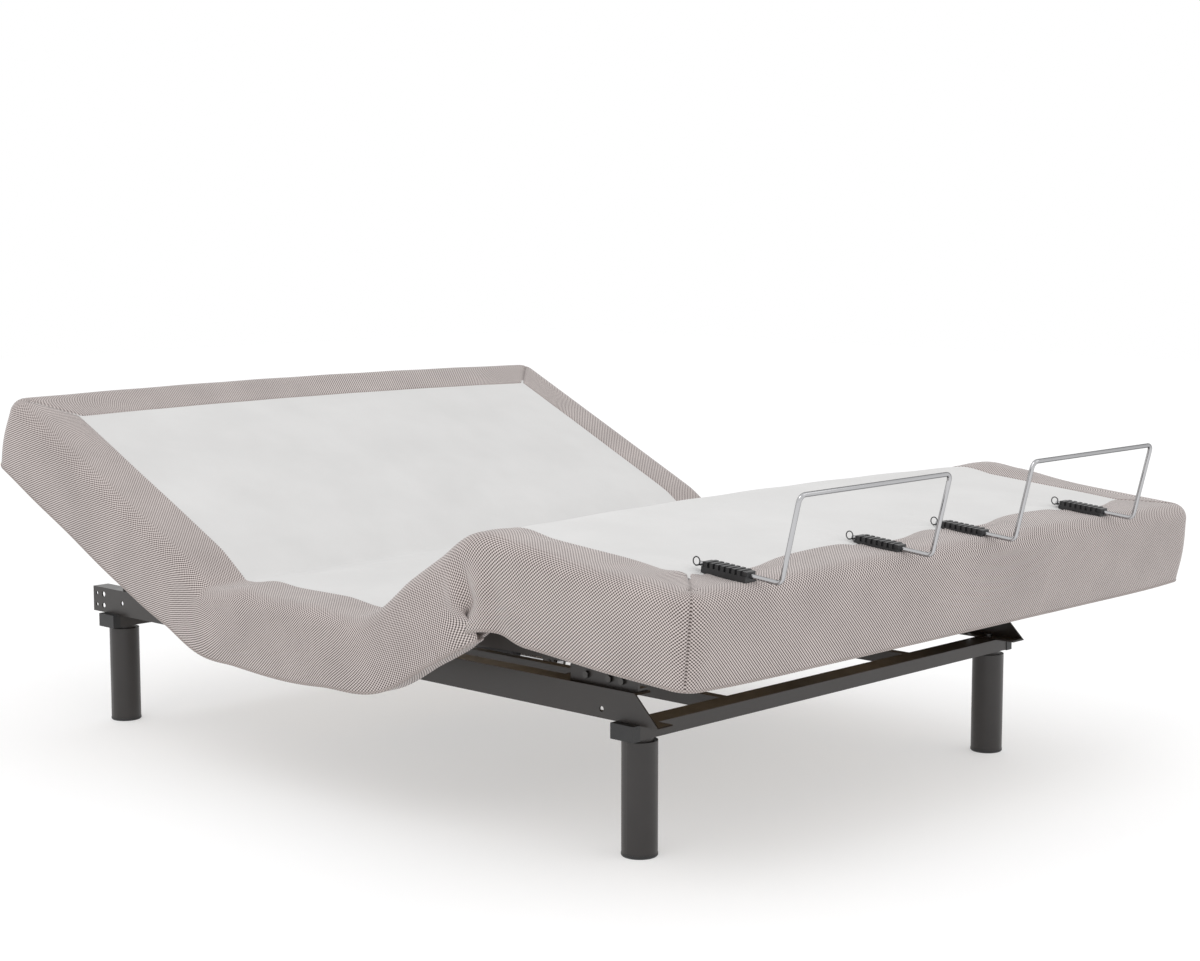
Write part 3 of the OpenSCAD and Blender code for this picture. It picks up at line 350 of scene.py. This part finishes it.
# Flat sizes, from the CAD nodes.
HALF_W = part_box("seat_cover")[1].x
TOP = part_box("seat_cover")[1].z
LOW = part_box("seat_cover")[0].z
DECK_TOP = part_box("seat_deck")[1].z
BAND = HALF_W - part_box("seat_cloth")[1].x
WALL = HALF_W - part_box("seat_deck")[1].x
HEAD_Y, THIGH_Y = HEAD_FOLD.hinge[0], THIGH_FOLD.hinge[0]
THIGH_LEN = float(np.linalg.norm(KNEE_FOLD.hinge - THIGH_FOLD.hinge))
KNEE_Y = THIGH_Y - THIGH_LEN
FOOT_SLOPE = FOOT_TURN - THIGH_REST
HEAD_END = HEAD_Y + reach_of("head_cover", HEAD_FOLD, HEAD_REST, 1)[1]
FOOT_END = KNEE_Y - reach_of("foot_cover", KNEE_FOLD, FOOT_SLOPE, -1)[1]
MID_SEAT = (HEAD_Y + THIGH_Y) / 2
MID_THIGH = THIGH_Y - THIGH_LEN / 2
CLIP_APART = 0.05       # more than a clip is wide, less than the gap between two


def clip_places():
    """The middle of each retainer clip across the bed."""
    xs = np.sort([v.co.x for v in NODES["retainer_clips"].data.vertices])
    groups = np.split(xs, np.where(np.diff(xs) > CLIP_APART)[0] + 1)
    return [float((g.min() + g.max()) / 2) for g in groups]


CLIP_XS = clip_places()
CLIP_BACK = KNEE_Y - reach_of("retainer_clips", KNEE_FOLD, FOOT_SLOPE, -1)[0]


# ---------------------------------------------------------------- fabric covers
CORNER_R = 0.040
SHOULDER_R = 0.028
TAPER = 0.007           # how far the skirt leans in at the hem
BULGE = 0.004
BEAD = 0.0030
CROWN = 0.013
CROWN_AT_ENDS, CROWN_FADE = 0.75, 0.3
FOLD_EDGE = 0.003       # how far the band's inner edge turns down before it is straight
BAND_LIP = 0.007        # how far that edge goes down in all
SKIN = 0.0008
WALL_GAP = 0.003        # between the cover's inner wall and the deck's edge
STEP = 0.010
FINE_STEP = 0.003
ACROSS_STEP = 0.012
DOWN_STEP = 0.008
FINE_BEFORE_KNEE, FINE_AFTER_KNEE = 0.09, 0.11
SEAM_DEPTH = 0.0045
SEAM_WIDTH = 3.2        # degrees round the corner
SEAM_ANGLES = np.radians([0, 10, 20, 28, 34, 39, 42, 43.8, 45, 46.2, 48, 51, 56, 62, 70, 80, 90])
PULL_REACH = 0.25       # the stretch beside a corner over which inner rows give way to the mitre
THREAD = 3.0            # the weave's place at the split under the thigh, where it runs on from piece to piece
SCALLOP_DEPTH, SCALLOP_SHIFT, SCALLOP_WIDTH = 0.030, 0.07, 0.075
SCALLOP_INSET, SCALLOP_FADE = 0.055, 0.05


def cover_profile():
    """The cover's closed section, as inset from the outer side and height: over the band and the
    shoulder, down the skirt, round the hem, up the inner wall and back over the deck."""
    arc = np.linspace(0, math.pi / 2, 8)
    shoulder = TOP - SHOULDER_R
    side = shoulder - LOW
    drop = spaced(0, side - 2 * BEAD, DOWN_STEP)[1:]
    wall = WALL - WALL_GAP
    parts = [
        [(BAND, TOP - BAND_LIP), (BAND, TOP - FOLD_EDGE), (BAND - FOLD_EDGE / 2, TOP - SKIN)],
        [(d, TOP) for d in spaced(BAND - 0.005, SHOULDER_R, STEP)[:-1]],
        [(SHOULDER_R * (1 - math.sin(a)), TOP - SHOULDER_R * (1 - math.cos(a))) for a in arc],
        [(t * TAPER / side - BULGE * math.sin(math.pi * t / side) ** 1.3, shoulder - t) for t in drop],
        [(TAPER + BEAD * (0.5 - math.cos(a)), LOW + BEAD * (1 - math.sin(a)))
         for a in np.linspace(-0.9, 1.9, 7)],
        [(d, LOW + BEAD * 0.3) for d in spaced(TAPER + 2.2 * BEAD, wall - 0.003, 0.012)],
        [(wall, z) for z in spaced(LOW + 0.003, DECK_TOP - 0.004, 0.014)],
        [(d, DECK_TOP + SKIN) for d in spaced(wall + 0.003, BAND, 0.02)],
    ]
    outline = np.array([point for part in parts for point in part])
    bead_from = sum(len(part) for part in parts[:4])
    return outline, range(bead_from, bead_from + len(parts[4]))


PROFILE, BEAD_ROWS = cover_profile()


def band_scallop(x):
    """How far the band's inner edge moves towards the foot end: the cloth is pulled down at the clips."""
    return sum(SCALLOP_DEPTH * bell(x - clip - SCALLOP_SHIFT, SCALLOP_WIDTH) for clip in CLIP_XS)


def side_stations(length, past_knee):
    """Distances from a split line to the corner, closer together where the knee folds."""
    if not past_knee:
        return spaced(0, length, STEP)
    start, stop = MID_THIGH - KNEE_Y - FINE_BEFORE_KNEE, MID_THIGH - KNEE_Y + FINE_AFTER_KNEE
    return np.unique(np.concatenate([spaced(0, start, STEP), spaced(start, stop, FINE_STEP),
                                     spaced(stop, length, STEP)]))


def end_cover_points(split, free_end, thread, way, at_foot):
    """Flat points of a cover that runs from a split line round a free end and back, and the weave's
    place u along it: the weave starts from thread and turns back at each corner's seam."""
    reach = abs(free_end - split)
    d, z = PROFILE.T
    inner = np.maximum(d - CORNER_R, 0)
    rows, lengths = [], []

    def pulled(distance, limit, shift):
        return distance - shift * smooth((distance - (limit - PULL_REACH)) / PULL_REACH)

    for v in side_stations(reach - CORNER_R, at_foot):
        rows.append((HALF_W - d, pulled(v, reach - CORNER_R, inner), z))
        lengths.append(v + 0 * d)
    for angle in SEAM_ANGLES:
        seam = bell(math.degrees(angle) - 45, SEAM_WIDTH)
        sunk = SEAM_DEPTH * seam * (d < CORNER_R * 0.9) * (z > LOW + 2 * BEAD)
        radius = np.maximum(CORNER_R - d, 0) - sunk
        x = HALF_W - CORNER_R - inner + radius * math.cos(angle)
        y = reach - CORNER_R - inner + radius * math.sin(angle)
        dip = SEAM_DEPTH * (d >= CORNER_R * 0.9) * (z > TOP - 0.002)
        rows.append((x, y, z - dip))
        lengths.append(reach - CORNER_R + CORNER_R * angle + 0 * d)
    for x0 in spaced(HALF_W - CORNER_R, 0, ACROSS_STEP)[1:]:
        rows.append((pulled(x0, HALF_W - CORNER_R, inner), reach - d, z))
        lengths.append(reach - CORNER_R + CORNER_R * math.pi / 2 + (HALF_W - CORNER_R) - x0 + 0 * d)
    x, y, z = (np.array([row[i] for row in rows]) for i in range(3))
    seam_at = reach - CORNER_R + CORNER_R * math.pi / 4
    u = thread + way * (seam_at - np.abs(np.array(lengths) - seam_at))
    # the other half mirrors this one
    x = np.concatenate([-x, x[-2::-1]])
    y, z, u = (np.concatenate([half, half[-2::-1]]) for half in (y, z, u))
    if at_foot:
        deep = smooth((np.tile(d, (len(x), 1)) - SCALLOP_INSET) / SCALLOP_FADE)
        on_end = smooth((y - (reach - BAND - 0.03)) / 0.03) * smooth((HALF_W - BAND - np.abs(x)) / 0.06)
        y = y + band_scallop(x) * deep * on_end * (z > DECK_TOP + 0.005)
    return x, split + math.copysign(1, free_end - split) * y, z, u


def strip_points(side, start, stop):
    """Flat points of the cover along one side between two split lines."""
    d, z = PROFILE.T
    along = spaced(start, stop, STEP)
    x = np.tile(side * (HALF_W - d), (len(along), 1))
    y = np.tile(along[:, None], (1, len(d)))
    return x, y, np.tile(z, (len(along), 1)), y - stop + THREAD


def crowned(x, y, z):
    """The top is slightly domed across the bed."""
    lift = CROWN * (1 - (x / HALF_W) ** 2) * smooth((z - DECK_TOP - 0.002) / (TOP - DECK_TOP - 0.004))
    from_end = np.minimum(HEAD_END - y, y - FOOT_END)
    return z + lift * (CROWN_AT_ENDS + (1 - CROWN_AT_ENDS) * smooth(from_end / CROWN_FADE))


CREASE_HEIGHT, CREASE_REACH, CREASE_FROM = 0.0045, 0.095, 0.030
CREASES_ROUND = 5
HOLLOW_DEPTH = 0.0035


def clip_creases(x, y):
    """Low creases that fan out in the top cloth from behind each retainer clip, and the hollow that its
    screws pull into the foam."""
    lift = np.zeros_like(x)
    for clip in CLIP_XS:
        dx, dy = x - clip, y - CLIP_BACK
        r = np.hypot(dx, dy) + 1e-6
        fan = np.cos(CREASES_ROUND * np.arctan2(dx, dy) + 0.7) * smooth((dy + 0.03) / 0.03)
        lift += CREASE_HEIGHT * fan * np.exp(-r / CREASE_REACH) * smooth(r / CREASE_FROM)
        lift -= HOLLOW_DEPTH * bell(dx, 0.045) * bell(dy + 0.045, 0.075)
    return lift


HEAD_CREASE = 0.012     # the valley pressed into the top at the head hinge
SEAT_SWELL = 0.007      # the foam pushed up beside that valley
HEAD_HEM_LIFT, THIGH_HEM_LIFT, SEAT_HEM_LIFT, CORNER_HEM_LIFT = 0.013, 0.015, 0.006, 0.004
KNEE_SWELL = 0.009
RIPPLE = 0.0011
SKIRT_RIPPLE = 0.0013


def drape(x, y, z):
    """How far gravity and the hinges raise or lower the fabric at rest."""
    top = smooth((z - LOW - 0.08) / (TOP - LOW - 0.08))
    hem = smooth((TOP - 0.02 - z) / (TOP - 0.02 - LOW))
    dz = -HEAD_CREASE * np.exp(-np.abs(y - HEAD_Y - 0.030) / 0.035) * top
    dz += SEAT_SWELL * bell(y - HEAD_Y + 0.070, 0.05) * top
    dz += hem * (HEAD_HEM_LIFT * bell(y - HEAD_Y - 0.01, 0.17) + THIGH_HEM_LIFT * bell(y - THIGH_Y, 0.15))
    dz += hem * SEAT_HEM_LIFT * smooth((y - THIGH_Y + 0.2) / 0.2) * smooth((HEAD_Y + 0.2 - y) / 0.2)
    dz += hem * CORNER_HEM_LIFT * bell(np.abs(x) - HALF_W, 0.10) * bell(y - FOOT_END, 0.10)
    dz += RIPPLE * np.sin(31 * x + 2.0) * np.sin(23 * y + 0.6) * (top + hem) / 2
    dz += clip_creases(x, y) * smooth((z - TOP + 0.02) / 0.015)
    dz += KNEE_SWELL * bell(KNEE_Y - y - 0.09, 0.09) * top * smooth((np.abs(x) - HALF_W + BAND) / 0.06)
    return dz


OVERLAP = 0.020
OVERLAP_AT = -0.030
OVERLAP_SPAN = 0.018
OVERLAP_OUT = 0.014     # how far the upper layer stands out over the lower one
SKIRT_DEPTH = 0.034     # only fabric this near to the outer side folds
# each pleat's place along the fold, its width, and how far it stands out
PLEATS = ((-0.050, 0.015, 0.006), (-0.016, 0.015, -0.012), (0.018, 0.018, 0.006), (0.050, 0.018, -0.004))


def knee_pleats(x, rest):
    """Where the skirt is squeezed under the knee it folds over itself at the hem and pleats above.
    Places along it are measured from the hinge on the fold's own line: negative towards the head."""
    middle = (KNEE_FOLD.end - KNEE_FOLD.start) / np.linalg.norm(KNEE_FOLD.end - KNEE_FOLD.start)
    offset = rest - KNEE_FOLD.hinge
    along = offset @ middle
    down = (offset @ np.array([-middle[1], middle[0]])) * math.copysign(1, -middle[0])
    outer = smooth((np.abs(x) - (HALF_W - SKIRT_DEPTH)) / 0.012)
    lap = smooth((down - 0.062) / 0.045) * outer
    s = (along - OVERLAP_AT) / OVERLAP_SPAN
    shift = -(OVERLAP + OVERLAP_SPAN) * s * np.exp(0.5 * (1 - s * s)) * lap
    upper = smooth((s + 1.6) / 3.2) * np.exp(-np.clip(along - OVERLAP_AT, 0, None) / 0.10)
    step = (OVERLAP_OUT * upper - 0.003 * np.exp(-np.abs(along - OVERLAP_AT) / 0.05)) * lap
    fade = smooth((down + 0.015) / 0.07) * outer
    pleat = sum(height * bell(along - at, width) for at, width, height in PLEATS) * fade
    return rest + shift[:, None] * middle, x + np.sign(x) * (step + pleat)


def at_rest(x, y, z, section):
    """Flat fabric points, bent and draped as they are at rest, as an (n, 3) array."""
    shape = x.shape
    x, y, z = x.ravel(), y.ravel(), z.ravel()
    flat = np.stack([y, crowned(x, y, z)], 1)
    if section == "head":
        rest = HEAD_FOLD.bent(flat)
    elif section == "middle":
        rest = THIGH_FOLD.bent(flat)
    else:
        rest = KNEE_FOLD.bent(THIGH_FOLD.hinge + turned(flat - THIGH_FOLD.hinge, THIGH_FOLD.turn))
    rest[:, 1] += drape(x, y, z)
    past_end = np.abs(y - (HEAD_END + FOOT_END) / 2) - (HEAD_END - FOOT_END) / 2
    skirt = smooth((TOP - 0.03 - z) / 0.05) * smooth((np.maximum(np.abs(x) - HALF_W, past_end) + 0.03) / 0.01)
    x = x + np.sign(x) * SKIRT_RIPPLE * np.sin(17 * y + 1.1) * np.sin(9 * y + 26 * (TOP - z)) * skirt
    if section == "foot":
        rest, x = knee_pleats(x, rest)
    return np.column_stack([x, rest]).reshape(*shape, 3)


def grid_object(name, points, uv, materials, material_rows=None, closed=False, caps=False):
    """A mesh from a grid of points: rows run along the path, columns across it."""
    rows, columns = points.shape[:2]
    faces, corner_uv, slots = [], [], []
    for i in range(rows - 1):
        for j in range(columns if closed else columns - 1):
            k = (j + 1) % columns
            faces.append((i * columns + j, i * columns + k, (i + 1) * columns + k, (i + 1) * columns + j))
            far = max(j, k)  # the closing face keeps its weave place instead of running back through it all
            corner_uv += [uv[i, j], uv[i, far], uv[i + 1, far], uv[i + 1, j]]
            slots.append(1 if material_rows and j in material_rows else 0)
    if caps:
        for row in (0, rows - 1):
            ring = [row * columns + j for j in range(columns)]
            faces.append(tuple(ring[::-1] if row == 0 else ring))
            corner_uv += [(0, 0)] * columns
            slots.append(0)
    mesh = bpy.data.meshes.new(name)
    mesh.from_pydata([tuple(p) for p in points.reshape(-1, 3)], [], faces)
    layer = mesh.uv_layers.new(name="weave")
    layer.data.foreach_set("uv", np.array(corner_uv, np.float32).ravel())
    for material in materials:
        mesh.materials.append(material)
    mesh.polygons.foreach_set("material_index", np.array(slots, np.int32))
    tidy_mesh(mesh)
    piece = bpy.data.objects.new(name, mesh)
    bpy.context.scene.collection.objects.link(piece)
    return piece


def tidy_mesh(mesh):
    """Merges points that lie together, drops empty faces and turns the faces outwards."""
    work = bmesh.new()
    work.from_mesh(mesh)
    bmesh.ops.remove_doubles(work, verts=work.verts, dist=1e-5)
    bmesh.ops.dissolve_degenerate(work, edges=work.edges, dist=1e-5)
    bmesh.ops.recalc_face_normals(work, faces=work.faces)
    for face in work.faces:
        face.smooth = len(face.verts) <= 4
    for edge in work.edges:
        edge.smooth = all(face.smooth for face in edge.link_faces)
    work.to_mesh(mesh)
    work.free()


def cover_piece(name, grid, section, fold, nodes, materials):
    """A closed cover of padded fabric, which stands for the section's CAD nodes."""
    x, y, z, u = grid
    points = at_rest(x, y, z, section)
    across = np.concatenate([[0], np.cumsum(np.linalg.norm(np.diff(PROFILE, axis=0), axis=1))])
    uv = np.stack([u, np.tile(across, (len(u), 1))], 2)
    piece = grid_object(name, points, uv, materials, BEAD_ROWS, closed=True, caps=True)
    fold.blend(piece)
    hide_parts(*nodes)


def add_covers(fabric, hem):
    pair = (fabric, hem)
    head = end_cover_points(MID_SEAT, HEAD_END, THREAD + MID_SEAT - MID_THIGH, 1, False)
    foot = end_cover_points(MID_THIGH, FOOT_END, THREAD, -1, True)
    cover_piece("head_cover_fabric", head, "head", HEAD_FOLD,
                ("head_cover", "head_border", "head_pad", "seat_cover", "seat_border", "seat_pad"), pair)
    cover_piece("foot_cover_fabric", foot, "foot", KNEE_FOLD,
                ("foot_cover", "foot_border", "foot_pad", "thigh_cover", "thigh_border", "thigh_pad"), pair)
    for name, side in (("left", -1), ("right", 1)):
        strip = strip_points(side, MID_SEAT, MID_THIGH)
        cover_piece(f"{name}_thigh_cover_fabric", strip, "middle", THIGH_FOLD, (), pair)


# ---------------------------------------------------------------- top cloth
CLOTH_TUCK = 0.014
CLOTH_DROP = 0.0016
CLOTH_PAST_SCALLOPS = 0.034
CLOTH_STEP = 0.008


def cloth_piece(name, start, stop, section, fold, nodes, material):
    """The cloth inside the band, tucked under it at both sides and at a free end."""
    half = HALF_W - BAND + CLOTH_TUCK
    if section != "middle":
        short = BAND - CLOTH_TUCK - (CLOTH_PAST_SCALLOPS if section == "foot" else 0)
        stop -= math.copysign(short, stop - start)
    xs = spaced(-half, half, ACROSS_STEP)
    ys = spaced(start, stop, CLOTH_STEP)
    x, y = np.meshgrid(xs, ys)
    z = np.full_like(x, TOP - CLOTH_DROP)
    points = at_rest(x, y, z, section)
    uv = np.stack([x, y], 2)
    piece = grid_object(name, points, uv, [material])
    fold.blend(piece)
    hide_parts(*nodes)


def add_cloths(material):
    cloth_piece("head_cloth_sheet", MID_SEAT, HEAD_END, "head", HEAD_FOLD, ("head_cloth",), material)
    cloth_piece("middle_cloth_sheet", MID_SEAT, MID_THIGH, "middle", THIGH_FOLD, ("seat_cloth",), material)
    cloth_piece("foot_cloth_sheet", MID_THIGH, FOOT_END, "foot", KNEE_FOLD, ("foot_cloth", "thigh_cloth"),
                material)


# ---------------------------------------------------------------- finishes for the CAD nodes
def finish_nodes():
    """Gives each CAD node that still shows the look of its material slot."""
    looks = {
        "frame_paint": paint_material("frame_paint", (0.022, 0.018, 0.016, 1), 0.38),
        "leg_paint": paint_material("leg_paint", (0.020, 0.017, 0.016, 1), 0.40),
        "black_plastic": plastic_material("black_plastic", (0.016, 0.016, 0.017, 1), 0.42),
        "fasteners": metal_material("fasteners", (0.09, 0.088, 0.085, 1), 0.4),
        "actuator_plastic": plastic_material("actuator_plastic", (0.03, 0.03, 0.032, 1), 0.5),
        "cable_rubber": plastic_material("cable_rubber", (0.012, 0.012, 0.012, 1), 0.6, 900.0),
        "deck_wood": wood_material(),
        # edge=0.05 darkens the chrome towards its outlines: a painted dark reflection standing in for dark
        # surroundings in the white studio
        "chrome_rod": metal_material("chrome_rod", (0.50, 0.50, 0.51, 1), 0.09, edge=0.05),
        "rod_steel": metal_material("rod_steel", (0.62, 0.62, 0.63, 1), 0.2, (1, 0.05, 1)),
        "roller_nylon": plastic_material("roller_nylon", (0.72, 0.71, 0.67, 1), 0.45),
    }
    slots = {s["node"]: s["material_slot"] for s in frame["record"]["subparts"]}
    slots["hitch_pins"] = "black_plastic"
    for node, piece in NODES.items():
        if slots[node] in looks:
            piece.data.materials.clear()
            piece.data.materials.append(looks[slots[node]])


def add_floor():
    mesh = bpy.data.meshes.new("floor")
    corners = [(x * FLOOR_REACH, y * FLOOR_REACH, 0) for x, y in ((-1, -1), (1, -1), (1, 1), (-1, 1))]
    mesh.from_pydata(corners, [], [(0, 1, 2, 3)])
    mesh.materials.append(floor_material())
    floor = bpy.data.objects.new("floor", mesh)
    bpy.context.scene.collection.objects.link(floor)


add_camera()
add_world()
for light_name, (light_place, light_power) in LIGHTS.items():
    add_area_light(light_name, light_place, light_power)
add_floor()
add_covers(weave_material("cover_mesh"), weave_material("hem_trim", HEM_LIGHT, HEM_DARK))
add_cloths(cloth_material())
finish_nodes()
